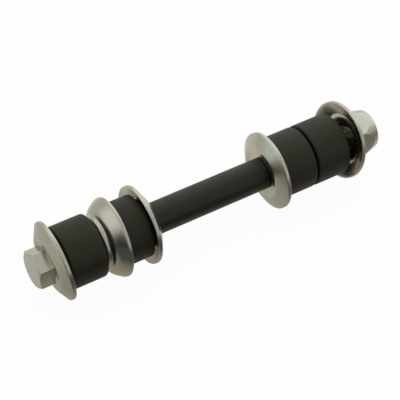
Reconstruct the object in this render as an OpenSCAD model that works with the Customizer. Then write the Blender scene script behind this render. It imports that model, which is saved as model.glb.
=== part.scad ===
// Stabilizer link: a long hex bolt that carries rubber bushings and pressed cup washers.
// One pair of bushings clamps the anti-roll bar's eye, the other clamps the suspension arm,
// and a spacer sleeve holds the two pairs apart.
// The bolt lies along X, from its head to its nut. The origin is on the bolt's axis,
// where the bar's eye is clamped, at the plain end of bushing 1.
// Nothing is tightened yet, so three of the washers lean on the bolt.

/* [Bolt] */
// Diameter of the bolt's plain shank
bolt_d = 12; // [8:0.5:13]
// Distance across the flats of the head
head_af = 17; // [16:0.5:22]
// Height of the head, with its round pad
head_h = 7; // [5:0.5:10]
// Height of the round pad under the head
head_pad_h = 0.5; // [0.3:0.1:0.8]
// Length of the thread, from the free end
thread_len = 36; // [26:1:60]
// Step from the plain shank down to the thread's crest, on the radius
thread_step = 0.1; // [0.05:0.05:0.3]
// Chamfer at the bolt's free end
tip_chamfer = 1.2; // [0.5:0.1:2]
// Length of the bolt that stands out of the nut
tip_out = 0.5; // [0:0.1:4]
// Turn of the head about the bolt's axis, in degrees
head_turn = 59; // [0:1:59]

/* [Lock nut] */
// Distance across the flats of the nut
nut_af = 21; // [19:0.5:24]
// Height of the nut
nut_h = 12.2; // [11:0.2:15]
// Height of the cone that cuts the corners at the nut's free end
cone_h = 8.8; // [4:0.1:9.5]
// Radius of that cone at the free end
cone_r = 9.6; // [8.8:0.1:10]
// Rounding of the cone's edge at the free end
cone_round = 1.3; // [0.3:0.1:1.5]
// Countersink of the nut's thread at both ends
nut_sink = 0.8; // [0.3:0.1:1.2]
// Running clearance between the nut and the thread, on the radius
nut_clear = 0.06; // [0.03:0.01:0.1]
// Turn of the nut about the bolt's axis, in degrees
nut_turn = 52; // [0:1:59]

/* [Cup washers] */
// Outside diameter of every washer
washer_d = 39; // [37:0.5:46]
// Thickness of a cup washer's sheet
sheet = 2; // [1.5:0.1:2.4]
// Height of a cup washer, from its crown to its rim's sharp edge
cup_h = 4.9; // [4.2:0.1:6]
// Distance inside the rim where the crown's plane and the skirt's slope meet
crown_in = 4.9; // [4.5:0.1:6]
// Radius of the bend on the hollow side
bend_r = 12; // [2:0.5:14]
// Rounding of the rim's edges
rim_round = 0.5; // [0.2:0.05:0.6]
// Clearance between a washer and the bolt, on the radius
washer_clear = 0.3; // [0.25:0.05:0.6]

/* [Hat washer] */
// Height of the hat washer, from its hub to its rim
hat_h = 11.2; // [10.8:0.1:13]
// Outside radius of the hub
hub_r = 13.2; // [12:0.1:14]
// Length of the straight hub
hub_len = 3.4; // [2.8:0.1:4]
// Distance of the bowl's shoulder, between its floor and its wall, inside the rim
shoulder_in = 2.7; // [2:0.1:3.5]
// Height of the bowl's shoulder
shoulder_h = 5.7; // [5.4:0.1:6.5]
// Height where the bowl's wall meets the straight rim
wall_h = 9.5; // [9:0.1:9.8]
// Thickness of the hat washer's sheet
hat_sheet = 1.6; // [1.2:0.1:1.8]
// Rounding of the hub's outer edge
hub_round = 1.2; // [0.5:0.1:1.5]
// Rounding outside the neck, between the hub and the bowl
neck_round = 1.2; // [0.5:0.1:1.5]
// Rounding outside the bowl's shoulder and under its rim
bowl_round = 3; // [2.4:0.1:4]

/* [Rubber bushings] */
// Outside diameter of a bushing
bush_d = 31; // [28:0.5:34]
// Length of a bushing
bush_len = 20; // [18:0.5:30]
// Radius of the end face that sits in a washer
seat_r = 12; // [9:0.1:12.5]
// Length of the taper that sits in a cup washer
cup_taper = 2.4; // [2:0.1:4]
// Length of the taper that sits in the hat washer
hat_taper = 4; // [3.5:0.1:7]
// Rounding of a bushing's edges
bush_round = 1; // [0.2:0.1:1.2]
// Clearance between a bushing and the bolt, on the radius
bush_clear = 0.25; // [0.15:0.05:0.5]

/* [Spacer sleeve] */
// Outside diameter of the sleeve
sleeve_d = 15.7; // [15:0.1:22]
// Length of the sleeve
sleeve_len = 63.6; // [30:0.2:120]
// Chamfer at the sleeve's ends
sleeve_chamfer = 0.5; // [0.2:0.1:0.8]
// Clearance between the sleeve and the bolt, on the radius
sleeve_clear = 0.35; // [0.2:0.05:0.6]

/* [Lean of the loose washers] */
// Lean of washer 1, in degrees
washer_1_lean_angle = 5; // [0:0.1:5.5]
// Way that washer 1's axis leans, round the bolt from below, in degrees
washer_1_lean_turn = 197; // [0:1:359]
// Lean of the hat washer, in degrees
hat_lean_angle = 1.6; // [0:0.1:4]
// Way that the hat washer's axis leans, round the bolt from below, in degrees
hat_lean_turn = 330; // [0:1:359]
// Lean of washer 5, in degrees
washer_5_lean_angle = 8.4; // [0:0.1:9]
// Way that washer 5's axis leans, round the bolt from below, in degrees
washer_5_lean_turn = 12; // [0:1:359]

/* [Play along the bolt] */
// Gap between pieces that meet end to end
end_gap = 0.15; // [0.1:0.05:0.3]
// Gap between the head and washer 1
head_gap = 0.6; // [0.1:0.1:2]
// Play of bushing 2 in the hat washer
hat_play = 0.75; // [0.3:0.05:4]
// Play of bushing 3 in its cup washer
arm_play = 0.55; // [0.1:0.05:4]
// Gap between the two bushings of the suspension arm
arm_gap = 1.2; // [0.4:0.1:15]
// Distance that the nut can be tightened before washer 5 meets bushing 4
nut_play = 1.6; // [1.5:0.1:12]

/* [Hidden] */
$fn = 96;

// Slope of the chamfers on the hexagons, in degrees
hex_chamfer = 30;
// Distance of a hexagon's round end face inside its flats
hex_inset = 0.3;
// Largest turn, in degrees, and largest length of one straight step along a rounded corner
arc_step = 15;
arc_chord = 1.5;
// Small overlap that makes cuts pass clean through
cut = 0.1;

washer_r = washer_d / 2;
bush_r = bush_d / 2;
bolt_r = bolt_d / 2;
thread_r = bolt_r - thread_step;
nut_bore = thread_r + nut_clear;
washer_bore = bolt_r + washer_clear;
cup_slope = skirt_slope(crown_in, cup_h, sheet);
// Radius of a cup washer's flat crown, and the place of a bushing's end face in the cup
crown_r = washer_r - crown_in - (bend_r + sheet) * tan(cup_slope / 2);
cup_seat = sheet + cup_rise(seat_r);

// Outer line of the hat washer, from its bore to its rim, as [radius, height]
hat_line = [
    [washer_bore, 0],
    [hub_r, 0],
    [hub_r, hub_len],
    [washer_r - shoulder_in, shoulder_h],
    [washer_r, wall_h],
    [washer_r, hat_h]
];
hat_inner = parallel(hat_line, hat_sheet);
// Inside of the bowl, and the height in it where a bushing's tapered end comes to rest
bowl = [hat_inner[2], hat_inner[3], hat_inner[4]];
hat_seat = max(concat(
    [lookup(seat_r, bowl), lookup(bush_r, bowl) - hat_taper],
    [for (p = bowl) if (p[0] > seat_r && p[0] < bush_r) p[1] - taper_height(p[0], hat_taper)]
));

// Places along the bolt, measured from the plane under the head
washer_1_x = head_gap + lean_reach(head_af / 2, washer_1_lean_angle);
bushing_1_x = washer_1_x + cup_seat + lean_reach(seat_r, washer_1_lean_angle) + end_gap;
bar_eye_x = bushing_1_x + bush_len;
hat_washer_x = bar_eye_x + lean_reach(hub_r, hat_lean_angle) + end_gap;
bushing_2_x = hat_washer_x + hat_seat + lean_reach(seat_r, hat_lean_angle) + hat_play;
washer_3_x = bushing_2_x + bush_len + end_gap + cup_seat;
sleeve_x = washer_3_x + end_gap;
washer_4_x = sleeve_x + sleeve_len + end_gap;
bushing_3_x = washer_4_x + cup_seat + arm_play;
bushing_4_x = bushing_3_x + bush_len + arm_gap;
washer_5_x = bushing_4_x + bush_len + nut_play + lean_reach(seat_r, washer_5_lean_angle) + cup_seat;
nut_x = washer_5_x + lean_reach(nut_af / 2, washer_5_lean_angle) + end_gap;
bolt_len = nut_x + nut_h + tip_out;

// Distance along the bolt that a face of a radius takes up when it leans
function lean_reach(r, lean) = r * sin(lean);

// Height on a bushing's taper, from its end face, at a radius
function taper_height(r, taper) = taper * (r - seat_r) / (bush_r - seat_r);

// Slope of a sheet's skirt that spans a width and, with the sheet, a height, in degrees
function skirt_slope(width, height, thick) =
    acos(thick / sqrt(width * width + height * height)) - atan2(width, height);

// Rise of a cup washer's hollow above its crown at a radius
function cup_rise(r) =
    let (
        bent = min(max(r - crown_r, 0), bend_r * sin(cup_slope)),
        straight = max(r - crown_r - bend_r * sin(cup_slope), 0)
    )
    bend_r - sqrt(bend_r * bend_r - bent * bent) + straight * tan(cup_slope);

function unit(v) = v / norm(v);

// Unit vector to the left of the way from a to b
function left_of(a, b) = unit([a[1] - b[1], b[0] - a[0]]);

// Line that runs parallel to a line of points, at a distance to its left
function parallel(points, away) =
    let (last = len(points) - 1)
    [
        for (i = [0:last])
            let (
                u = left_of(points[max(i, 1) - 1], points[max(i, 1)]),
                v = left_of(points[min(i, last - 1)], points[min(i, last - 1) + 1])
            )
            points[i] + (u + v) * away / (1 + u * v)
    ];

// Points that replace the corner b, between a and c, by an arc of radius r
function corner(a, b, c, r) =
    let (
        u = unit(a - b),
        v = unit(c - b),
        half = acos(u * v) / 2,
        centre = b + unit(u + v) * r / sin(half),
        first = b + u * r / tan(half) - centre,
        side = sign(u[1] * v[0] - u[0] * v[1]),
        turn = side * (180 - 2 * half),
        steps = ceil(max(abs(turn) / arc_step, abs(turn) * PI / 180 * r / arc_chord, 1))
    )
    [
        for (i = [0:steps])
            let (angle = turn * i / steps)
            centre + [
                first[0] * cos(angle) - first[1] * sin(angle),
                first[0] * sin(angle) + first[1] * cos(angle)
            ]
    ];

// Outline through [radius, height, rounding] corners
function rounded(points) =
    let (
        count = len(points),
        flat = [for (p = points) [p[0], p[1]]]
    )
    [
        for (i = [0:count - 1])
            each points[i][2] > 0
                ? corner(flat[(i + count - 1) % count], flat[i], flat[(i + 1) % count], points[i][2])
                : [flat[i]]
    ];

// Stands a piece that is drawn along Z on the bolt's axis, at a distance from the head
module on_bolt(x) {
    translate([x - bar_eye_x, 0, 0])
        rotate([0, 90, 0])
            children();
}

// Leans a piece's axis one way about a point at a height on that axis
module leaning(lean, way, height) {
    translate([0, 0, height])
        rotate([0, 0, way])
            rotate([0, lean, 0])
                rotate([0, 0, -way])
                    translate([0, 0, -height])
                        children();
}

// Turns a piece round, end for end, about its own start
module reversed() {
    mirror([0, 0, 1])
        children();
}

module revolved(points) {
    rotate_extrude()
        polygon(rounded(points));
}

module hex_prism(af, height) {
    cylinder(h = height, d = af / cos(30), $fn = 6);
}

// Cup washer with its crown at zero and its hollow facing up
module cup_washer() {
    outer_bend = bend_r + sheet;
    hollow_r = washer_r - (cup_h - sheet) / tan(cup_slope);
    revolved([
        [washer_bore, 0, rim_round],
        [washer_r - crown_in, 0, outer_bend],
        [washer_r, cup_h - sheet / cos(cup_slope), rim_round],
        [washer_r, cup_h, rim_round],
        [hollow_r, sheet, bend_r],
        [washer_bore, sheet, 0]
    ]);
}

// Bushing with its lower end at zero; a taper of no length leaves a plain end
module bushing(low_taper, high_taper) {
    bore = bolt_r + bush_clear;
    low_end = low_taper > 0
        ? [[seat_r, 0, bush_round], [bush_r, low_taper, bush_round]]
        : [[bush_r, 0, bush_round]];
    high_end = high_taper > 0
        ? [[bush_r, bush_len - high_taper, bush_round], [seat_r, bush_len, bush_round]]
        : [[bush_r, bush_len, bush_round]];
    revolved(concat(
        [[bore, 0, 0]],
        low_end,
        high_end,
        [[bore, bush_len, 0]]
    ));
}

module bolt() {
    face_r = head_af / 2 - hex_inset;
    corner_r = head_af / 2 / cos(30) + cut;
    color("silver") on_bolt(0) {
        translate([0, 0, -head_h])
            intersection() {
                rotate([0, 0, head_turn])
                    hex_prism(head_af, head_h - head_pad_h);
                cylinder(
                    h = (corner_r - face_r) * tan(hex_chamfer) + head_h,
                    r1 = face_r,
                    r2 = face_r + (corner_r - face_r) + head_h / tan(hex_chamfer)
                );
            }
        rotate_extrude()
            polygon([
                [0, -head_pad_h - cut],
                [face_r, -head_pad_h - cut],
                [face_r, 0],
                [bolt_r, 0],
                [bolt_r, bolt_len - thread_len - thread_step],
                [thread_r, bolt_len - thread_len],
                [thread_r, bolt_len - tip_chamfer],
                [thread_r - tip_chamfer, bolt_len],
                [0, bolt_len]
            ]);
    }
}

// The revolved outline bores the nut, chamfers its seat and cuts its corners to a cone
module nut() {
    seat_face_r = nut_af / 2 - hex_inset;
    corner_r = nut_af / 2 / cos(30);
    chamfer_h = (corner_r - seat_face_r) * tan(hex_chamfer);
    color("silver") on_bolt(nut_x) intersection() {
        rotate([0, 0, nut_turn])
            hex_prism(nut_af, nut_h);
        revolved([
            [nut_bore, nut_sink, 0],
            [nut_bore + nut_sink, 0, 0],
            [seat_face_r, 0, 0],
            [corner_r, chamfer_h, 0],
            [corner_r, nut_h - cone_h, 0],
            [cone_r, nut_h, cone_round],
            [nut_bore + nut_sink, nut_h, 0],
            [nut_bore, nut_h - nut_sink, 0]
        ]);
    }
}

module washer_1() {
    color("lightgray") on_bolt(washer_1_x)
        leaning(washer_1_lean_angle, washer_1_lean_turn, sheet / 2)
            cup_washer();
}

module hat_washer() {
    outer_round = [0, hub_round, neck_round, bowl_round, bowl_round, rim_round];
    inner_round = [0, 0, neck_round + hat_sheet, bowl_round - hat_sheet, bowl_round - hat_sheet, rim_round];
    last = len(hat_line) - 1;
    color("lightgray") on_bolt(hat_washer_x)
        leaning(hat_lean_angle, hat_lean_turn, hat_sheet / 2)
            revolved(concat(
                [for (i = [0:last]) [hat_line[i][0], hat_line[i][1], outer_round[i]]],
                [for (i = [last:-1:0]) [hat_inner[i][0], hat_inner[i][1], inner_round[i]]]
            ));
}

module washer_3() {
    color("lightgray") on_bolt(washer_3_x) reversed() cup_washer();
}

module washer_4() {
    color("lightgray") on_bolt(washer_4_x) cup_washer();
}

module washer_5() {
    color("lightgray") on_bolt(washer_5_x)
        leaning(washer_5_lean_angle, washer_5_lean_turn, -sheet / 2)
            reversed()
                cup_washer();
}

module bushing_1() {
    color("#33322e") on_bolt(bushing_1_x) bushing(cup_taper, 0);
}

module bushing_2() {
    color("#33322e") on_bolt(bushing_2_x) bushing(hat_taper, cup_taper);
}

module bushing_3() {
    color("#33322e") on_bolt(bushing_3_x) bushing(cup_taper, 0);
}

module bushing_4() {
    color("#33322e") on_bolt(bushing_4_x) bushing(0, cup_taper);
}

module spacer_sleeve() {
    bore = bolt_r + sleeve_clear;
    outer = sleeve_d / 2;
    color("#1e1e1d") on_bolt(sleeve_x) rotate_extrude()
        polygon([
            [bore, 0],
            [outer - sleeve_chamfer, 0],
            [outer, sleeve_chamfer],
            [outer, sleeve_len - sleeve_chamfer],
            [outer - sleeve_chamfer, sleeve_len],
            [bore, sleeve_len]
        ]);
}

bolt();
nut();
washer_1();
hat_washer();
washer_3();
washer_4();
washer_5();
bushing_1();
bushing_2();
bushing_3();
bushing_4();
spacer_sleeve();
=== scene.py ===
"""Stabilizer link: zinc plated bolt, nut and pressed washers, rubber bushings and a black sleeve."""

import math

import bmesh
import bpy
from bpy.props import FloatProperty, FloatVectorProperty, IntProperty, PointerProperty
from mathutils import Matrix, Vector


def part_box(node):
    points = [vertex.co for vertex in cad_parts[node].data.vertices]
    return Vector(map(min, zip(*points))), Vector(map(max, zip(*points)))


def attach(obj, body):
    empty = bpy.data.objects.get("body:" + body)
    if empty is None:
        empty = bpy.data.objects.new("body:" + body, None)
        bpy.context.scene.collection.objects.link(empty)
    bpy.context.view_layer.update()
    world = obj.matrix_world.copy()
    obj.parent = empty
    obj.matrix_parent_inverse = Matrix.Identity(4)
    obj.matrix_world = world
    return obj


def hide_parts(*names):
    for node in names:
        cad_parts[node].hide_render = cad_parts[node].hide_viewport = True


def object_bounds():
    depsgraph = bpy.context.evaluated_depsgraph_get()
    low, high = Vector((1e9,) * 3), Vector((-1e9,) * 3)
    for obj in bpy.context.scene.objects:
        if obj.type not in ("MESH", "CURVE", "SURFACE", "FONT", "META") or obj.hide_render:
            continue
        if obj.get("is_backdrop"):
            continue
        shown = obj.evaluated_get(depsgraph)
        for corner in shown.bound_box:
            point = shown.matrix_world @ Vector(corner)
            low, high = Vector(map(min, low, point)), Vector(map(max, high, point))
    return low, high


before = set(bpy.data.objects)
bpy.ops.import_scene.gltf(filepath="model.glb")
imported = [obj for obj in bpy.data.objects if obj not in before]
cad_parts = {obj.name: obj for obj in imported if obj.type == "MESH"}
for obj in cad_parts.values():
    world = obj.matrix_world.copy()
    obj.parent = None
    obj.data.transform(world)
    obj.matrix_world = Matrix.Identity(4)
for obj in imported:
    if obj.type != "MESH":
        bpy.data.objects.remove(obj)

bl_info = {
    "name": "Stabilizer link",
    "version": (1, 0, 0),
    "blender": (4, 5, 0),
    "location": "View3D > Sidebar > Link",
    "description": "Builds the visible pieces, finishes and stage of a bolt-type stabilizer link",
    "category": "Object",
}

MM = 0.001
MARKED_BUSHING = "bushing_4"
EDGE_ATTRIBUTE = "edge"
CORNER_WEAR = 0.5
HEX_SIDES = 6
HALF_SIDE = math.pi / HEX_SIDES
HEX_CHAMFER = math.radians(30)
SHARP_EDGE = math.radians(38)
MARK_COLUMNS = 24
SENSOR_WIDTH = 36.0
FLOOR_CLOUD = 0.985
CLOUD_BLOOM = 0.5
EDGE_BLOOM = 0.35

# Shape of the rolled thread: how steep its sides are, and how flat its crest is.
THREAD_SLOPE = 1.35
THREAD_CREST = 0.18

# Patches of light in the room, in degrees: azimuth, elevation, and the radii where a patch fades and ends.
CAMERA_SIDE = (-50, -5, 12, 62)
LEFT_BOX = (-108, 36, 15, 48)
RIGHT_BOX = (120, 35, 34, 50)

# Stretches over which the floor's painted reflection in the metal changes: across the bolt, and along it in
# front and behind.
FLOOR_ACROSS = (-48 * MM, 10 * MM)
FLOOR_IN_FRONT = (40 * MM, 200 * MM)
FLOOR_BEHIND = (-60 * MM, 30 * MM)


def length(name, description, default):
    """A size in metres that the sidebar shows in the scene's own unit."""
    return FloatProperty(name=name, description=description, default=default, unit="LENGTH", precision=5)


def turn(name, description, degrees):
    """An angle that is written in degrees."""
    return FloatProperty(name=name, description=description, default=math.radians(degrees), subtype="ANGLE")


def level(name, description, default):
    """A plain number, such as a brightness or a share."""
    return FloatProperty(name=name, description=description, default=default)


def colour(name, description, default):
    """A linear colour without alpha."""
    return FloatVectorProperty(name=name, description=description, default=default, size=3, subtype="COLOR",
                               min=0.0, max=1.0)


class LinkSizes(bpy.types.PropertyGroup):
    """Sizes that the frame's boxes don't give."""

    head_flats: length("Head across flats", "Distance across the flats of the bolt's head", 17 * MM)
    head_height: length("Head height", "Height of the bolt's head with its pad", 8 * MM)
    pad_height: length("Head pad", "Height of the round pad under the head", 0.2 * MM)
    head_turn: turn("Head turn", "Turn of the head about the bolt", 59)
    nut_flats: length("Nut across flats", "Distance across the flats of the nut", 21 * MM)
    nut_turn: turn("Nut turn", "Turn of the nut about the bolt", 52)
    cone_height: length("Nut cone", "Height of the cone at the nut's free end", 8.8 * MM)
    cone_radius: length("Nut cone's end", "Radius of that cone at the free end", 9.6 * MM)
    cone_round: length("Nut cone's edge", "Rounding of the cone's edge at the free end", 1.3 * MM)
    nut_sink: length("Nut countersink", "Countersink of the nut's thread", 0.8 * MM)
    nut_gap: length("Nut clearance", "Clearance of the nut's hole round the thread's crest", 0.06 * MM)
    hex_inset: length("Hexagon end face", "Distance of a hexagon's end face inside its flats", 0.3 * MM)
    hex_corner: length("Hexagon corner", "Rounding of a hexagon's upright edges", 0.45 * MM)
    hex_edge: length("Hexagon edge", "Rounding of a hexagon's end face", 0.3 * MM)
    chamfer_edge: length("Chamfer edge", "Rounding between a hexagon's chamfer and its flats", 0.18 * MM)
    head_foot: length("Head foot", "Rounding of the head's edge towards its pad", 0.12 * MM)
    cone_foot: length("Cone foot", "Rounding between the nut's flats and its cone", 0.15 * MM)
    shank_diameter: length("Shank", "Diameter of the bolt's plain shank", 12 * MM)
    thread_length: length("Thread length", "Length of the thread from the free end", 36 * MM)
    thread_pitch: length("Thread pitch", "Pitch of the thread", 1.25 * MM)
    thread_depth: length("Thread depth", "Depth of the thread", 0.7 * MM)
    thread_step: length("Thread step", "Step from the shank to the thread's crest", 0.1 * MM)
    tip_chamfer: length("Tip chamfer", "Chamfer at the bolt's free end", 1.2 * MM)
    washer_radius: length("Washer", "Outside radius of every washer", 19.5 * MM)
    washer_bore: length("Washer bore", "Radius of a washer's hole", 6.3 * MM)
    sheet: length("Sheet", "Thickness of a cup washer's sheet", 2 * MM)
    recess_radius: length("Recess", "Radius of the shallow recess in a cup washer's crown", 10.8 * MM)
    ridge_radius: length("Ridge", "Radius of the ridge round that recess", 13.0 * MM)
    ridge_height: length("Ridge height", "Height of that ridge above the recess", 1.0 * MM)
    head_seat: length("Head seat", "Depth that washer 1's recess is sunk under the head", 0.4 * MM)
    skirt_height: length("Skirt height", "Height from the recess to the skirt's outer edge", 2.7 * MM)
    recess_round: length("Recess rounding", "Rounding at the foot of the ridge", 0.5 * MM)
    ridge_round: length("Ridge rounding", "Rounding over the ridge on the hollow side", 0.4 * MM)
    skirt_bow: length("Skirt bow", "Depth of the bow in the hollow side of a skirt", 0.35 * MM)
    skirt_bend: length("Skirt bend", "Radius of that bow", 18 * MM)
    rim_round: length("Rim rounding", "Rounding of a washer's rim", 0.5 * MM)
    washer_1_crown: length("Washer 1", "Place of washer 1's crown along the bolt", -23.2312 * MM)
    washer_1_lean: turn("Washer 1 lean", "Lean of washer 1 on the bolt", 5)
    washer_1_turn: turn("Washer 1 lean's way", "Way that washer 1's axis leans, from below", 197)
    washer_5_crown: length("Washer 5", "Place of washer 5's crown along the bolt", 141.3940 * MM)
    washer_5_lean: turn("Washer 5 lean", "Lean of washer 5 on the bolt", 8.4)
    washer_5_turn: turn("Washer 5 lean's way", "Way that washer 5's axis leans, from below", 12)
    hat_face: length("Hat washer", "Place of the hat washer's hub face along the bolt", 0.5186 * MM)
    hat_lean: turn("Hat washer lean", "Lean of the hat washer on the bolt", 1.6)
    hat_turn: turn("Hat washer lean's way", "Way that the hat washer's axis leans, from below", 330)
    hat_height: length("Hat height", "Height of the hat washer to its rim", 10.3 * MM)
    hat_sheet: length("Hat sheet", "Thickness of the hat washer's sheet", 1.6 * MM)
    hub_radius: length("Hub", "Outside radius of the hat washer's hub", 13.2 * MM)
    hub_length: length("Hub length", "Length of the hat washer's straight hub", 2.4 * MM)
    shoulder_inset: length("Shoulder", "Distance of the bowl's shoulder inside the rim", 3.0 * MM)
    shoulder_height: length("Shoulder height", "Height of the bowl's shoulder", 4.2 * MM)
    wall_height: length("Wall height", "Height where the bowl's wall meets its straight rim", 8.8 * MM)
    hub_round: length("Hub rounding", "Rounding of the hub's outer edge", 1.65 * MM)
    neck_round: length("Neck rounding", "Rounding outside the neck of the hat washer", 1.2 * MM)
    shoulder_round: length("Shoulder rounding", "Rounding outside the bowl's shoulder", 7 * MM)
    bowl_round: length("Bowl rounding", "Rounding outside the bowl under its rim", 3 * MM)
    bore_round: length("Bore rounding", "Rounding at the ends of a hole", 0.3 * MM)
    bushing_bore: length("Bushing bore", "Radius of a bushing's hole", 6.25 * MM)
    seat_radius: length("Seat", "Radius of a bushing's end face inside a washer", 12 * MM)
    cup_taper: length("Cup taper", "Length of a bushing's taper in a cup washer", 2.4 * MM)
    hat_taper: length("Hat taper", "Length of a bushing's taper in the hat washer", 4 * MM)
    bushing_round: length("Bushing rounding", "Rounding of a bushing's edges", 1 * MM)
    gate_place: length("Gate mark", "Place of the moulding mark on bushing 4 along the bolt", 123.93 * MM)
    gate_turn: turn("Gate mark's turn", "Place of the moulding mark round the bolt", 75)
    gate_radius: length("Gate mark size", "Radius of the moulding mark", 0.9 * MM)
    gate_depth: length("Gate mark depth", "Depth of the moulding mark", 0.35 * MM)
    sleeve_bore: length("Sleeve bore", "Radius of the sleeve's hole", 6.35 * MM)
    sleeve_chamfer: length("Sleeve chamfer", "Chamfer at the sleeve's ends", 0.5 * MM)
    columns: IntProperty(name="Columns", description="Faces round a revolved piece", default=160, min=48)


class LinkFinish(bpy.types.PropertyGroup):
    """Colours of the finishes."""

    zinc: colour("Zinc", "Main colour of the zinc plate", (0.545, 0.525, 0.428))
    zinc_warm: colour("Warm tint", "Pink and straw tint of the zinc plate", (0.558, 0.500, 0.424))
    zinc_cool: colour("Cool tint", "Green and blue tint of the zinc plate", (0.482, 0.532, 0.460))
    # Painted shade: a darker green for the thread, which shows in the shaded gap between washer 5 and
    # bushing 4.
    thread: colour("Thread", "Colour of the zinc plate on the oily thread", (0.25, 0.30, 0.25))
    rubber: colour("Rubber", "Colour of the bushings", (0.0112, 0.0106, 0.0077))
    rubber_bloom: colour("Rubber bloom", "Paler bloom on the bushings", (0.0220, 0.0208, 0.0150))
    paint: colour("Paint", "Colour of the sleeve's paint", (0.008, 0.008, 0.007))
    paint_worn: colour("Thin paint", "Colour of the paint where it is thin", (0.022, 0.021, 0.019))
    black_gloss: colour("Black gloss", "Tint of the gloss on the rubber and the paint", (1.0, 0.97, 0.72))
    floor: colour("Floor", "Colour of the floor", (0.92, 0.92, 0.91))


class LinkStage(bpy.types.PropertyGroup):
    """Camera, light and floor."""

    azimuth: turn("Azimuth", "Direction of the camera round the link", -31.446)
    elevation: turn("Elevation", "Height of the camera above the horizon", 44.067)
    distance: length("Distance", "Distance of the camera from the aim", 690.66 * MM)
    aim: length("Aim", "Place on the bolt's axis that the camera looks at", 57.276 * MM)
    lens: FloatProperty(name="Lens", description="Focal length of the camera", default=131.23,
                        unit="CAMERA")
    shift_x: level("Shift across", "Sideways shift of the picture", 0.00044)
    shift_y: level("Shift up", "Upward shift of the picture", -0.0015)
    room_light: level("Room", "Brightness of the room round the stage", 0.60)
    dark_side: level("Camera side", "Brightness taken off on the camera's side", 0.56)
    left_light: level("Left soft box", "Brightness that the left soft box adds", 0.38)
    right_light: level("Right soft box", "Brightness that the right soft box adds", 0.54)
    left_tint: colour("Left soft box's colour", "Colour of the left soft box", (0.91, 0.98, 1.0))
    right_tint: colour("Right soft box's colour", "Colour of the right soft box", (0.90, 0.97, 1.0))
    floor_white: level("White floor", "Share of plain white in the floor that the camera sees", 0.96)
    # The floor in the metal is a painted reflection: a tinted glow, dark in front and bright behind, mixed
    # with the floor's own shading by the two shares.
    floor_tint: colour("Floor glow", "Colour of the floor in the metal", (1.0, 0.92, 0.80))
    floor_far: level("Far floor", "Brightness behind the head in the metal", 0.48)
    floor_back: level("Back floor", "Brightness behind the nut in the metal", 0.82)
    floor_near: level("Near floor", "Brightness in front of the head in the metal", 0.05)
    floor_side: level("Side floor", "Brightness in front of the nut in the metal", 0.22)
    front_share: level("Front share", "Share of that brightness in the floor in front", 0.92)
    back_share: level("Back share", "Share of that brightness in the floor behind", 0.50)
    floor_width: length("Floor width", "Width of the floor", 6.0)


def sizes():
    """Sizes that the sidebar holds."""
    return bpy.context.scene.link_sizes


def finish_colours():
    """Colours that the sidebar holds."""
    return bpy.context.scene.link_finish


def corner_arc(before, at, after, radius, step=math.radians(9)):
    """Points that replace the corner between two lines by an arc."""
    u = (before - at).normalized()
    v = (after - at).normalized()
    half = u.angle(v) / 2
    centre = at + (u + v).normalized() * radius / math.sin(half)
    first = at + u * radius / math.tan(half) - centre
    side = 1 if u.y * v.x - u.x * v.y > 0 else -1
    sweep = side * (math.pi - 2 * half)
    steps = max(2, math.ceil(abs(sweep) / step))
    points = []
    for i in range(steps + 1):
        angle = sweep * i / steps
        points.append(centre + Vector((
            first.x * math.cos(angle) - first.y * math.sin(angle),
            first.x * math.sin(angle) + first.y * math.cos(angle),
        )))
    return points


def rounded(corners):
    """Closed outline through (along, radius, rounding) corners, as (along, radius, edge) points."""
    flat = [Vector(c[:2]) for c in corners]
    outline = []
    for i, (_, _, radius) in enumerate(corners):
        if radius > 0:
            arc = corner_arc(flat[i - 1], flat[i], flat[(i + 1) % len(flat)], radius)
            outline += [(p.x, p.y, 1.0) for p in arc]
        else:
            outline.append((flat[i].x, flat[i].y, CORNER_WEAR))
    return spread(outline)


def open_rounded(corners, arc_points=4):
    """Open outline from the second (along, radius, rounding) corner on.

    Every rounding gets the same number of points, so that the outlines at all angles fit together.
    """
    flat = [Vector(c[:2]) for c in corners]
    outline = []
    for i, (along, radius, fillet) in enumerate(corners):
        if fillet <= 0:
            outline.append((along, radius, 0.0))
            continue
        u = flat[i - 1] - flat[i]
        v = flat[i + 1] - flat[i]
        # A step a little over an even share never gives one point more.
        step = (math.pi - u.angle(v)) / arc_points * 1.001
        arc = corner_arc(flat[i - 1], flat[i], flat[i + 1], fillet, step)
        outline += [(p.x, p.y, 1.0) for p in arc]
    return outline[1:]


def spread(outline, longest=2.0 * MM):
    """Adds points along the straight stretches of a closed outline, so that shading stays even."""
    points = []
    for i, a in enumerate(outline):
        b = outline[(i + 1) % len(outline)]
        steps = max(1, math.ceil(math.hypot(b[0] - a[0], b[1] - a[1]) / longest))
        for k in range(steps):
            t = k / steps
            edge = a[2] if k == 0 else 0.0
            points.append((a[0] + (b[0] - a[0]) * t, a[1] + (b[1] - a[1]) * t, edge))
    return points


def even_angles():
    """Angles of the columns of a revolved piece."""
    count = sizes().columns
    return [2 * math.pi * i / count for i in range(count)]


def link_mesh(name, rows, faces):
    """Object with smooth faces from (x, y, z, edge) vertices and vertex indices."""
    mesh = bpy.data.meshes.new(name)
    mesh.from_pydata([v[:3] for v in rows], [], faces)
    edge = mesh.attributes.new(EDGE_ATTRIBUTE, "FLOAT", "POINT")
    edge.data.foreach_set("value", [v[3] for v in rows])
    mesh.validate()
    outward = bmesh.new()
    outward.from_mesh(mesh)
    bmesh.ops.recalc_face_normals(outward, faces=outward.faces)
    outward.to_mesh(mesh)
    outward.free()
    mesh.shade_smooth()
    mesh.set_sharp_from_angle(angle=SHARP_EDGE)
    piece = bpy.data.objects.new(name, mesh)
    bpy.context.scene.collection.objects.link(piece)
    return piece


def leaning(lean, way, pivot):
    """Leans a piece's axis one way, counted round the bolt from below, about a point on the bolt's axis."""
    axis = Vector((math.cos(lean), math.sin(lean) * math.sin(way), -math.sin(lean) * math.cos(way)))
    spin = Vector((1.0, 0.0, 0.0)).rotation_difference(axis).to_matrix().to_4x4()
    place = Matrix.Translation((pivot, 0.0, 0.0))
    return place @ spin @ place.inverted()


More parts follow.
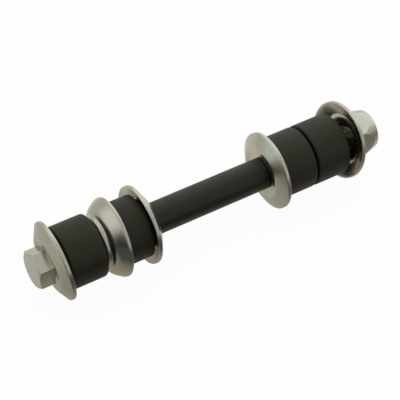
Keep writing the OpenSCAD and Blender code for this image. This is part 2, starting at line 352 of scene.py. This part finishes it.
def column_rows(angles, columns):
    """Vertices of columns of (along, radius, edge) points that stand round the bolt's axis."""
    return [
        (x, r * math.cos(angle), r * math.sin(angle), edge)
        for angle, column in zip(angles, columns)
        for x, r, edge in column
    ]


def turned(name, angles, profile):
    """Ring about the bolt's axis: profile(angle) gives a closed outline of (along, radius, edge) points."""
    columns = [profile(a) for a in angles]
    height = len(columns[0])
    faces = []
    for j in range(len(angles)):
        k = (j + 1) % len(angles)
        for i in range(height):
            n = (i + 1) % height
            faces.append((j * height + i, j * height + n, k * height + n, k * height + i))
    return link_mesh(name, column_rows(angles, columns), faces)


def solid_turned(name, angles, profile):
    """Solid about the bolt's axis: profile(angle) gives an open outline, closed at the axis at both ends."""
    columns = [profile(a) for a in angles]
    height = len(columns[0])
    rows = column_rows(angles, columns)
    start = len(rows)
    rows.append((columns[0][0][0], 0.0, 0.0, 0.0))
    rows.append((columns[0][-1][0], 0.0, 0.0, 0.0))
    faces = []
    for j in range(len(angles)):
        k = (j + 1) % len(angles)
        for i in range(height - 1):
            faces.append((j * height + i, j * height + i + 1, k * height + i + 1, k * height + i))
        faces.append((start, j * height, k * height))
        faces.append((start + 1, k * height + height - 1, j * height + height - 1))
    return link_mesh(name, rows, faces)


def hex_angles(start, flats, per_flat=18, per_corner=6):
    """Angles round a hexagon, close together at its upright edges."""
    fillet = sizes().hex_corner
    flat_half = math.atan((flats / 2 - fillet) * math.tan(HALF_SIDE) / (flats / 2))
    angles = []
    for side in range(HEX_SIDES):
        middle = start + 2 * HALF_SIDE * side
        for i in range(per_flat):
            angles.append(middle - flat_half + 2 * flat_half * i / per_flat)
        for i in range(per_corner):
            angles.append(middle + flat_half + 2 * (HALF_SIDE - flat_half) * i / per_corner)
    return angles


def hex_radius(angle, flats, fillet):
    """Distance from the axis to a hexagon with rounded upright edges."""
    apothem = flats / 2
    theta = abs((angle + HALF_SIDE) % (2 * HALF_SIDE) - HALF_SIDE)
    if apothem * math.tan(theta) <= (apothem - fillet) * math.tan(HALF_SIDE):
        return apothem / math.cos(theta)
    centre = (apothem - fillet) / math.cos(HALF_SIDE)
    away = HALF_SIDE - theta
    return centre * math.cos(away) + math.sqrt(max(0.0, fillet ** 2 - (centre * math.sin(away)) ** 2))


def own(piece, body, slot, *nodes):
    """The piece moves with a body and stands for the nodes it was made for."""
    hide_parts(*nodes)
    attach(piece, body)


def add(tree, kind, **inputs):
    """Shader node with its inputs set by name."""
    made = tree.nodes.new(kind)
    for name, value in inputs.items():
        made.inputs[name.replace("_", " ").title()].default_value = value
    return made


def noise(tree, vector, scale, detail):
    """Even noise, as a factor."""
    made = add(tree, "ShaderNodeTexNoise", scale=scale, detail=detail, roughness=0.55)
    tree.links.new(vector, made.inputs["Vector"])
    return made.outputs["Fac"]


def ramp(tree, value, low, high, to_low=0.0, to_high=1.0, soft=False):
    """Value from one range to another, held at the ends, where it may ease off softly."""
    made = add(tree, "ShaderNodeMapRange", from_min=low, from_max=high, to_min=to_low, to_max=to_high)
    if soft:
        made.interpolation_type = "SMOOTHSTEP"
    tree.links.new(value, made.inputs["Value"])
    return made.outputs["Result"]


def blend_colour(tree, factor, first, second):
    """Mix of two colours, each a constant or a socket."""
    made = tree.nodes.new("ShaderNodeMix")
    made.data_type = "RGBA"
    tree.links.new(factor, made.inputs["Factor"])
    # The node keeps its colours in inputs 6 and 7 and gives their mix at output 2.
    for value, index in ((first, 6), (second, 7)):
        if isinstance(value, bpy.types.NodeSocket):
            tree.links.new(value, made.inputs[index])
        else:
            made.inputs[index].default_value = (*value, 1.0)
    return made.outputs[2]


def math_node(tree, operation, first, second):
    """Sum, product or the like of two values, each a constant or a socket."""
    made = tree.nodes.new("ShaderNodeMath")
    made.operation = operation
    for value, socket in ((first, made.inputs[0]), (second, made.inputs[1])):
        if isinstance(value, bpy.types.NodeSocket):
            tree.links.new(value, socket)
        else:
            socket.default_value = value
    return made.outputs[0]


def bump(tree, height, strength, distance):
    """Normal of a surface with a fine relief."""
    made = add(tree, "ShaderNodeBump", strength=strength, distance=distance)
    tree.links.new(height, made.inputs["Height"])
    return made.outputs["Normal"]


def mix_shader(tree, factor, first, second):
    """Mix of two shaders."""
    made = tree.nodes.new("ShaderNodeMixShader")
    tree.links.new(factor, made.inputs[0])
    tree.links.new(first, made.inputs[1])
    tree.links.new(second, made.inputs[2])
    return made.outputs[0]


def new_material(name):
    """Empty material with a Principled shader: (material, tree, shader, object coordinates)."""
    material = bpy.data.materials.new(name)
    material.use_nodes = True
    tree = material.node_tree
    shader = tree.nodes["Principled BSDF"]
    place = tree.nodes.new("ShaderNodeTexCoord").outputs["Object"]
    return material, tree, shader, place


def edge_value(tree):
    """How near an edge a point is: 1 on it, 0 away from it, and below 0 in the moulding mark."""
    made = tree.nodes.new("ShaderNodeAttribute")
    made.attribute_name = EDGE_ATTRIBUTE
    return made.outputs["Fac"]


def zinc_plate(name, roughness, grain, bright=1.0, thread=None):
    """Bright zinc plate with drifting straw, pink and green tints, turning darker from the start of a thread
    on, as painted shade.
    """
    colours = finish_colours()
    material, tree, shader, place = new_material(name)
    drift = ramp(tree, noise(tree, place, scale=45.0, detail=2.0), low=0.38, high=0.66)
    cool = ramp(tree, noise(tree, place, scale=70.0, detail=2.0), low=0.48, high=0.72)
    plain, warm, green = (tuple(bright * c for c in tint)
                          for tint in (colours.zinc, colours.zinc_warm, colours.zinc_cool))
    tinted = blend_colour(tree, drift, plain, warm)
    tinted = blend_colour(tree, cool, tinted, green)
    if thread is not None:
        along = add(tree, "ShaderNodeSeparateXYZ")
        tree.links.new(place, along.inputs[0])
        # From the start of the thread on, the colour turns to that darker green, which is painted shade.
        dull = ramp(tree, along.outputs["X"], thread, thread + MM)
        tinted = blend_colour(tree, dull, tinted, tuple(colours.thread))
    tree.links.new(tinted, shader.inputs["Base Color"])
    shader.inputs["Metallic"].default_value = 1.0
    haze = noise(tree, place, scale=260.0, detail=3.0)
    rough = ramp(tree, haze, low=0.3, high=0.75, to_low=roughness - 0.03, to_high=roughness + 0.05)
    tree.links.new(rough, shader.inputs["Roughness"])
    fine = noise(tree, place, scale=1400.0, detail=2.0)
    tree.links.new(bump(tree, fine, strength=grain, distance=0.02 * MM), shader.inputs["Normal"])
    return material


def bushing_rubber(name):
    """Matt moulded rubber with a faint bloom, paler rubbed edges and a dark moulding mark."""
    colours = finish_colours()
    material, tree, shader, place = new_material(name)
    cloud = ramp(tree, noise(tree, place, scale=120.0, detail=5.0), low=0.35, high=0.75)
    rubbed = math_node(tree, "MULTIPLY", edge_value(tree), EDGE_BLOOM)
    bloom = math_node(tree, "MAXIMUM", math_node(tree, "MULTIPLY", cloud, CLOUD_BLOOM), rubbed)
    body = blend_colour(tree, bloom, tuple(colours.rubber), tuple(colours.rubber_bloom))
    mark = ramp(tree, edge_value(tree), low=-1.0, high=0.0, to_low=1.0, to_high=0.0)
    tree.links.new(blend_colour(tree, mark, body, tuple(colours.paint)), shader.inputs["Base Color"])
    rough = ramp(tree, cloud, low=0.0, high=1.0, to_low=0.46, to_high=0.58)
    tree.links.new(rough, shader.inputs["Roughness"])
    shader.inputs["Specular IOR Level"].default_value = 0.37
    shader.inputs["Specular Tint"].default_value = (*colours.black_gloss, 1.0)
    grain = noise(tree, place, scale=1500.0, detail=3.0)
    tree.links.new(bump(tree, grain, strength=0.25, distance=0.1 * MM), shader.inputs["Normal"])
    return material


def sleeve_paint(name):
    """Satin black paint with a fine orange peel, thin at the edges."""
    colours = finish_colours()
    material, tree, shader, place = new_material(name)
    patchy = ramp(tree, noise(tree, place, scale=700.0, detail=4.0), low=0.4, high=0.7)
    thin = math_node(tree, "MULTIPLY", edge_value(tree), patchy)
    coat = blend_colour(tree, thin, tuple(colours.paint), tuple(colours.paint_worn))
    tree.links.new(coat, shader.inputs["Base Color"])
    haze = noise(tree, place, scale=160.0, detail=3.0)
    sheen = ramp(tree, haze, low=0.3, high=0.7, to_low=0.36, to_high=0.46)
    tree.links.new(sheen, shader.inputs["Roughness"])
    shader.inputs["Specular IOR Level"].default_value = 0.42
    shader.inputs["Specular Tint"].default_value = (*colours.black_gloss, 1.0)
    peel = noise(tree, place, scale=900.0, detail=2.0)
    tree.links.new(bump(tree, peel, strength=0.15, distance=0.05 * MM), shader.inputs["Normal"])
    return material


def floor_paper(stage):
    """Pale seamless paper: white to the camera, and in the metal a painted reflection, a glow that falls off
    towards the camera.
    """
    colours = finish_colours()
    material, tree, shader, place = new_material("floor_paper")
    cloud = ramp(tree, noise(tree, place, scale=3.0, detail=2.0), low=0.3, high=0.7)
    dull = tuple(c * FLOOR_CLOUD for c in colours.floor)
    tree.links.new(blend_colour(tree, cloud, tuple(colours.floor), dull), shader.inputs["Base Color"])
    shader.inputs["Roughness"].default_value = 0.9
    shader.inputs["Specular IOR Level"].default_value = 0.1
    path = tree.nodes.new("ShaderNodeLightPath")
    white = add(tree, "ShaderNodeEmission", strength=1.0)
    plain = math_node(tree, "MULTIPLY", path.outputs["Is Camera Ray"], stage.floor_white)
    seen = mix_shader(tree, plain, shader.outputs[0], white.outputs[0])
    across = add(tree, "ShaderNodeSeparateXYZ")
    tree.links.new(place, across.inputs[0])
    behind = ramp(tree, across.outputs["Y"], *FLOOR_ACROSS, soft=True)
    near = ramp(tree, across.outputs["X"], *FLOOR_IN_FRONT, stage.floor_near, stage.floor_side, soft=True)
    far = ramp(tree, across.outputs["X"], *FLOOR_BEHIND, stage.floor_far, stage.floor_back, soft=True)
    glow = add(tree, "ShaderNodeMix")
    for value, socket in zip((behind, near, far), (glow.inputs[0], glow.inputs[2], glow.inputs[3])):
        tree.links.new(value, socket)
    # Painted reflection: a glow that only glossy and transmission rays see, dark in front of the link and
    # bright behind it.
    painted_reflection = add(tree, "ShaderNodeEmission", color=(*stage.floor_tint, 1.0))
    tree.links.new(glow.outputs[0], painted_reflection.inputs["Strength"])
    shiny = math_node(tree, "MAXIMUM", path.outputs["Is Glossy Ray"], path.outputs["Is Transmission Ray"])
    share = ramp(tree, behind, low=0.0, high=1.0, to_low=stage.front_share, to_high=stage.back_share)
    both = mix_shader(tree, math_node(tree, "MULTIPLY", shiny, share), seen, painted_reflection.outputs[0])
    tree.links.new(both, tree.nodes["Material Output"].inputs["Surface"])
    return material


def shared_material(name, make, **settings):
    """Material by name, made when it is first asked for."""
    return bpy.data.materials.get(name) or make(name, **settings)


def pressed_zinc():
    """Plate on the washers' smooth sheet."""
    return shared_material("zinc_pressed", zinc_plate, roughness=0.24, grain=0.03)


def machined_zinc():
    """Plate on the nut."""
    return shared_material("zinc_machined", zinc_plate, roughness=0.22, grain=0.12)


def bolt_zinc():
    """Plate on the bolt, brighter on its shank and darkened on its thread by painted shade."""
    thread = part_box("bolt")[1].x - sizes().thread_length
    return shared_material("zinc_bolt", zinc_plate, roughness=0.22, grain=0.12, bright=1.1, thread=thread)


def bolt_profile(angle):
    """One side of the bolt, from the edge of the head's end face to the edge of the tip."""
    s = sizes()
    low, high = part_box("bolt")
    face = s.head_flats / 2 - s.hex_inset
    side = hex_radius(angle - s.head_turn, s.head_flats, s.hex_corner)
    drop = (side - face) * math.tan(HEX_CHAMFER)
    seat = low.x + s.head_height
    pad = seat - s.pad_height
    shank = s.shank_diameter / 2
    crest = shank - s.thread_step
    start = high.x - s.thread_length
    corners = [
        (low.x, 0.0, 0.0),
        (low.x, face, s.hex_edge),
        (low.x + drop, side, s.chamfer_edge),
        (pad, side, s.head_foot),
        (pad, face, 0.0),
        (seat, face, 0.0),
        (seat, shank, 0.0),
        (start, shank, 0.0),
    ]
    head = open_rounded(corners)
    return head + thread_profile(angle, start, high.x - s.tip_chamfer, crest) + [
        (high.x, crest - s.tip_chamfer, CORNER_WEAR),
    ]


def nut_profile(angle):
    """One side of the nut, whose corners run out in a cone at the free end."""
    s = sizes()
    low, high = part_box("nut")
    bore = s.shank_diameter / 2 - s.thread_step + s.nut_gap
    face = s.nut_flats / 2 - s.hex_inset
    corner = s.nut_flats / 2 / math.cos(HALF_SIDE)
    side = hex_radius(angle - s.nut_turn, s.nut_flats, s.hex_corner)
    drop = (side - face) * math.tan(HEX_CHAMFER)
    up = s.cone_height * (corner - side) / (corner - s.cone_radius)
    # The rounding at the free end keeps its room where the cone is low.
    room = 1.2 * s.cone_round
    shoulder = min(high.x - s.cone_height + up, high.x - room)
    return open_rounded([
        (low.x + s.nut_sink, bore, 0.0),
        (low.x, bore + s.nut_sink, 0.0),
        (low.x, face, s.hex_edge),
        (low.x + drop, side, s.chamfer_edge),
        (shoulder, side, s.cone_foot),
        (high.x, min(side, s.cone_radius), s.cone_round),
        (high.x, bore + s.nut_sink, 0.0),
        (high.x - s.nut_sink, bore, 0.0),
        (low.x + s.nut_sink, bore, 0.0),
    ])


def thread_profile(angle, start, end, crest, samples=10):
    """Rolled thread along the bolt, whose ridges wind round with the angle."""
    s = sizes()
    steps = math.ceil((end - start) / s.thread_pitch * samples)
    wound = angle / (2 * math.pi)
    points = []
    for i in range(steps + 1):
        along = start + (end - start) * i / steps
        wave = abs(((along - start) / s.thread_pitch - wound) % 1.0 - 0.5) * 2
        inside = min(along - start, end - along)
        fade = min(1.0, max(0.0, inside / s.thread_pitch))
        depth = fade * s.thread_depth * min(1.0, max(0.0, THREAD_SLOPE * wave - THREAD_CREST))
        points.append((along, crest - depth, 1.0 - depth / s.thread_depth))
    return points


def ring_profile(crown, direction, corners):
    """Outline of a ring from (height, radius, rounding) corners, whose heights start at its crown."""
    outline = rounded([(crown + direction * h, r, fillet) for h, r, fillet in corners])
    return lambda angle: outline


def parallel(line, away):
    """Line of (along, radius) points that runs beside another, on its right."""
    points = [Vector(p) for p in line]
    sides = []
    for a, b in zip(points, points[1:]):
        way = (b - a).normalized()
        sides.append(Vector((way.y, -way.x)))
    beside = []
    for i, point in enumerate(points):
        u = sides[max(i - 1, 0)]
        v = sides[min(i, len(sides) - 1)]
        beside.append(point + (u + v) * away / (1 + u.dot(v)))
    return beside


def cup_corners(rim, sunk=0.0):
    """Outline of a cup washer from its recessed crown, at zero or sunk, over a ridge to the skirt's rim."""
    s = sizes()
    line = [
        (0.0, s.washer_bore),
        (0.0, s.recess_radius),
        (-s.ridge_height, s.ridge_radius),
        (s.skirt_height, rim),
    ]
    slope = math.atan2(s.skirt_height + s.ridge_height, rim - s.ridge_radius)
    hollow = parallel(line, s.sheet)
    hollow[-1] = Vector((s.skirt_height + s.sheet / math.cos(slope), rim))
    bow = Vector((math.cos(slope), -math.sin(slope))) * s.skirt_bow
    hollow.insert(3, (hollow[2] + hollow[3]) / 2 - bow)
    outer = [s.bore_round, s.recess_round, s.ridge_round + s.sheet, s.rim_round]
    inner = [s.bore_round, s.recess_round + s.sheet, s.ridge_round, s.skirt_bend, s.rim_round]
    line[:2] = [(sunk, radius) for _, radius in line[:2]]
    corners = [(p[0], p[1], r) for p, r in zip(line, outer)]
    corners += [(p.x, p.y, r) for p, r in zip(hollow, inner)][::-1]
    return corners


def hat_corners(rim):
    """Outline of the hat washer, from its hub's face at zero to its rim."""
    s = sizes()
    line = [
        (0.0, s.washer_bore),
        (0.0, s.hub_radius),
        (s.hub_length, s.hub_radius),
        (s.shoulder_height, rim - s.shoulder_inset),
        (s.wall_height, rim),
        (s.hat_height, rim),
    ]
    sheet = s.hat_sheet
    outer = [s.bore_round, s.hub_round, s.neck_round, s.shoulder_round, s.bowl_round, s.rim_round]
    inner = [s.bore_round, s.bore_round, s.neck_round + sheet, s.shoulder_round - sheet,
             s.bowl_round - sheet, s.rim_round]
    corners = [(p[0], p[1], r) for p, r in zip(line, outer)]
    corners += [(p.x, p.y, r) for p, r in zip(parallel(line, sheet), inner)][::-1]
    return corners


class LINK_OT_bolt(bpy.types.Operator):
    """Bolt with a chamfered head, a plain shank and a rolled thread"""

    bl_idname = "link.bolt"
    bl_label = "Bolt"

    def execute(self, context):
        s = sizes()
        bolt = solid_turned("long_bolt", hex_angles(s.head_turn, s.head_flats), bolt_profile)
        bolt.data.materials.append(bolt_zinc())
        own(bolt, "bolt", "zinc", "bolt")
        return {"FINISHED"}


class LINK_OT_nut(bpy.types.Operator):
    """Lock nut whose corners end in a cone"""

    bl_idname = "link.nut"
    bl_label = "Lock nut"

    def execute(self, context):
        s = sizes()
        nut = turned("lock_nut", hex_angles(s.nut_turn, s.nut_flats), nut_profile)
        nut.data.materials.append(machined_zinc())
        own(nut, "nut", "zinc", "nut")
        return {"FINISHED"}


class LINK_OT_washers(bpy.types.Operator):
    """Pressed cup washers and the deeper hat washer"""

    bl_idname = "link.washers"
    bl_label = "Washers"

    def execute(self, context):
        s = sizes()
        half = s.sheet / 2
        cup = cup_corners(s.washer_radius)
        self.washer("washer_1", s.washer_1_crown, 1, cup_corners(s.washer_radius, s.head_seat),
                    leaning(s.washer_1_lean, s.washer_1_turn, s.washer_1_crown + half))
        self.washer("hat_washer", s.hat_face, 1, hat_corners(s.washer_radius),
                    leaning(s.hat_lean, s.hat_turn, s.hat_face + s.hat_sheet / 2))
        self.washer("washer_3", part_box("washer_3")[1].x, -1, cup)
        self.washer("washer_4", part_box("washer_4")[0].x, 1, cup)
        self.washer("washer_5", s.washer_5_crown, -1, cup,
                    leaning(s.washer_5_lean, s.washer_5_turn, s.washer_5_crown - half))
        return {"FINISHED"}

    def washer(self, node, crown, direction, corners, lean=None):
        """One washer, whose hollow is on the side that direction gives."""
        washer = turned("pressed_" + node, even_angles(), ring_profile(crown, direction, corners))
        if lean is not None:
            washer.data.transform(lean)
        washer.data.materials.append(pressed_zinc())
        own(washer, node, "zinc", node)


class LINK_OT_bushings(bpy.types.Operator):
    """Moulded rubber bushings"""

    bl_idname = "link.bushings"
    bl_label = "Bushings"

    def execute(self, context):
        s = sizes()
        tapers = {
            "bushing_1": (s.cup_taper, 0.0),
            "bushing_2": (s.hat_taper, s.cup_taper),
            "bushing_3": (s.cup_taper, 0.0),
            "bushing_4": (0.0, s.cup_taper),
        }
        for node, (low_taper, high_taper) in tapers.items():
            low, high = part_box(node)
            corners = [(low.x, s.bushing_bore, s.bore_round)]
            if low_taper:
                corners.append((low.x, s.seat_radius, s.bushing_round))
            corners.append((low.x + low_taper, high.z, s.bushing_round))
            corners.append((high.x - high_taper, high.z, s.bushing_round))
            if high_taper:
                corners.append((high.x, s.seat_radius, s.bushing_round))
            corners.append((high.x, s.bushing_bore, s.bore_round))
            bushing = turned("rubber_" + node, *self.surface(node, rounded(corners)))
            bushing.data.materials.append(shared_material("bushing_rubber", bushing_rubber))
            own(bushing, node, "rubber", node)
        return {"FINISHED"}

    def surface(self, node, outline):
        """Angles and profile of a bushing, one of which has a small moulding mark."""
        if node != MARKED_BUSHING:
            return even_angles(), lambda angle: outline
        s = sizes()
        fine = spread(outline, s.gate_radius / 2)
        skin = max(r for _, r, _ in outline)
        outside = 0.9 * skin
        reach = 2 * s.gate_radius / skin
        near = [s.gate_turn + reach * (2 * i / MARK_COLUMNS - 1) for i in range(MARK_COLUMNS + 1)]
        angles = sorted([a for a in even_angles() if abs(a - s.gate_turn) > reach] + near)

        def profile(angle):
            column = []
            for x, r, edge in fine:
                away = math.hypot(x - s.gate_place, (angle - s.gate_turn) * skin) / s.gate_radius
                if r > outside and away < 1.0:
                    dip = math.cos(away * math.pi / 2) ** 2
                    r -= s.gate_depth * dip
                    edge = -dip
                column.append((x, r, edge))
            return column

        return angles, profile


class LINK_OT_sleeve(bpy.types.Operator):
    """Painted spacer sleeve"""

    bl_idname = "link.sleeve"
    bl_label = "Sleeve"

    def execute(self, context):
        s = sizes()
        low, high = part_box("spacer_sleeve")
        outline = rounded([
            (low.x, s.sleeve_bore, s.bore_round),
            (low.x, high.z, s.sleeve_chamfer),
            (high.x, high.z, s.sleeve_chamfer),
            (high.x, s.sleeve_bore, s.bore_round),
        ])
        sleeve = turned("painted_sleeve", even_angles(), lambda angle: outline)
        sleeve.data.materials.append(shared_material("sleeve_paint", sleeve_paint))
        own(sleeve, "spacer_sleeve", "black_paint", "spacer_sleeve")
        return {"FINISHED"}


class LINK_OT_stage(bpy.types.Operator):
    """Camera, soft light and pale floor"""

    bl_idname = "link.stage"
    bl_label = "Stage"

    def execute(self, context):
        stage = context.scene.link_stage
        self.floor(stage)
        self.surroundings(context.scene, stage)
        self.camera(context.scene, stage)
        context.scene.view_settings.view_transform = "Standard"
        return {"FINISHED"}

    def floor(self, stage):
        """Floor at the height of the link's lowest point."""
        low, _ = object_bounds()
        half = stage.floor_width / 2
        corners = [(-half, -half), (half, -half), (half, half), (-half, half)]
        mesh = bpy.data.meshes.new("floor")
        mesh.from_pydata([(x, y, low.z) for x, y in corners], [], [(0, 1, 2, 3)])
        floor = bpy.data.objects.new("floor", mesh)
        bpy.context.scene.collection.objects.link(floor)
        mesh.materials.append(floor_paper(stage))
        floor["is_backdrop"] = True

    def surroundings(self, scene, stage):
        """Room with two large soft boxes and a darker camera side."""
        world = bpy.data.worlds.new("studio_room")
        world.use_nodes = True
        scene.world = world
        tree = world.node_tree
        way = tree.nodes.new("ShaderNodeTexCoord").outputs["Generated"]
        dark = self.patch(tree, way, CAMERA_SIDE, -stage.dark_side)
        light = self.glow(tree, math_node(tree, "ADD", dark, stage.room_light))
        for place, strength, tint in (
            (LEFT_BOX, stage.left_light, stage.left_tint),
            (RIGHT_BOX, stage.right_light, stage.right_tint),
        ):
            box = self.patch(tree, way, place, strength)
            both = tree.nodes.new("ShaderNodeVectorMath")
            tree.links.new(light, both.inputs[0])
            tree.links.new(self.glow(tree, box, tint), both.inputs[1])
            light = both.outputs[0]
        tree.links.new(light, tree.nodes["Background"].inputs["Color"])

    def glow(self, tree, strength, tint=(1.0, 1.0, 1.0)):
        """Light of one colour."""
        made = tree.nodes.new("ShaderNodeVectorMath")
        made.operation = "SCALE"
        made.inputs[0].default_value = tint
        tree.links.new(strength, made.inputs["Scale"])
        return made.outputs[0]

    def patch(self, tree, way, place, strength):
        """Soft round patch of light in the room."""
        azimuth, elevation, inner, outer = (math.radians(angle) for angle in place)
        aim = (
            math.sin(azimuth) * math.cos(elevation),
            -math.cos(azimuth) * math.cos(elevation),
            math.sin(elevation),
        )
        dot = tree.nodes.new("ShaderNodeVectorMath")
        dot.operation = "DOT_PRODUCT"
        tree.links.new(way, dot.inputs[0])
        dot.inputs[1].default_value = aim
        return ramp(tree, dot.outputs["Value"], math.cos(outer), math.cos(inner), 0.0, strength, soft=True)

    def camera(self, scene, stage):
        """Camera at the photograph's viewing angle."""
        data = bpy.data.cameras.new("camera")
        data.lens = stage.lens
        data.sensor_width = SENSOR_WIDTH
        data.shift_x = stage.shift_x
        data.shift_y = stage.shift_y
        camera = bpy.data.objects.new("camera", data)
        a, e = stage.azimuth, stage.elevation
        back = Vector((math.sin(a) * math.cos(e), -math.cos(a) * math.cos(e), math.sin(e)))
        camera.location = Vector((stage.aim, 0.0, 0.0)) + back * stage.distance
        camera.rotation_euler = (-back).to_track_quat("-Z", "Y").to_euler()
        scene.collection.objects.link(camera)
        scene.camera = camera


class LINK_PT_panel(bpy.types.Panel):
    """Sidebar panel with the link's pieces, sizes and finishes"""

    bl_label = "Stabilizer link"
    bl_idname = "LINK_PT_panel"
    bl_space_type = "VIEW_3D"
    bl_region_type = "UI"
    bl_category = "Link"

    def draw(self, context):
        for operator in OPERATORS:
            self.layout.operator(operator.bl_idname)
        for group in (context.scene.link_sizes, context.scene.link_finish, context.scene.link_stage):
            column = self.layout.column(align=True)
            for name in group.__annotations__:
                column.prop(group, name)


GROUPS = {"link_sizes": LinkSizes, "link_finish": LinkFinish, "link_stage": LinkStage}
OPERATORS = (LINK_OT_bolt, LINK_OT_nut, LINK_OT_washers, LINK_OT_bushings, LINK_OT_sleeve, LINK_OT_stage)
CLASSES = (*GROUPS.values(), *OPERATORS, LINK_PT_panel)


def register():
    for cls in CLASSES:
        bpy.utils.register_class(cls)
    for name, group in GROUPS.items():
        setattr(bpy.types.Scene, name, PointerProperty(type=group))


def unregister():
    for name in GROUPS:
        delattr(bpy.types.Scene, name)
    for cls in reversed(CLASSES):
        bpy.utils.unregister_class(cls)


def main():
    """Builds the link and its stage."""
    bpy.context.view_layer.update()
    register()
    bpy.ops.link.bolt()
    bpy.ops.link.nut()
    bpy.ops.link.washers()
    bpy.ops.link.bushings()
    bpy.ops.link.sleeve()
    bpy.ops.link.stage()


if __name__ == "__main__":
    main()
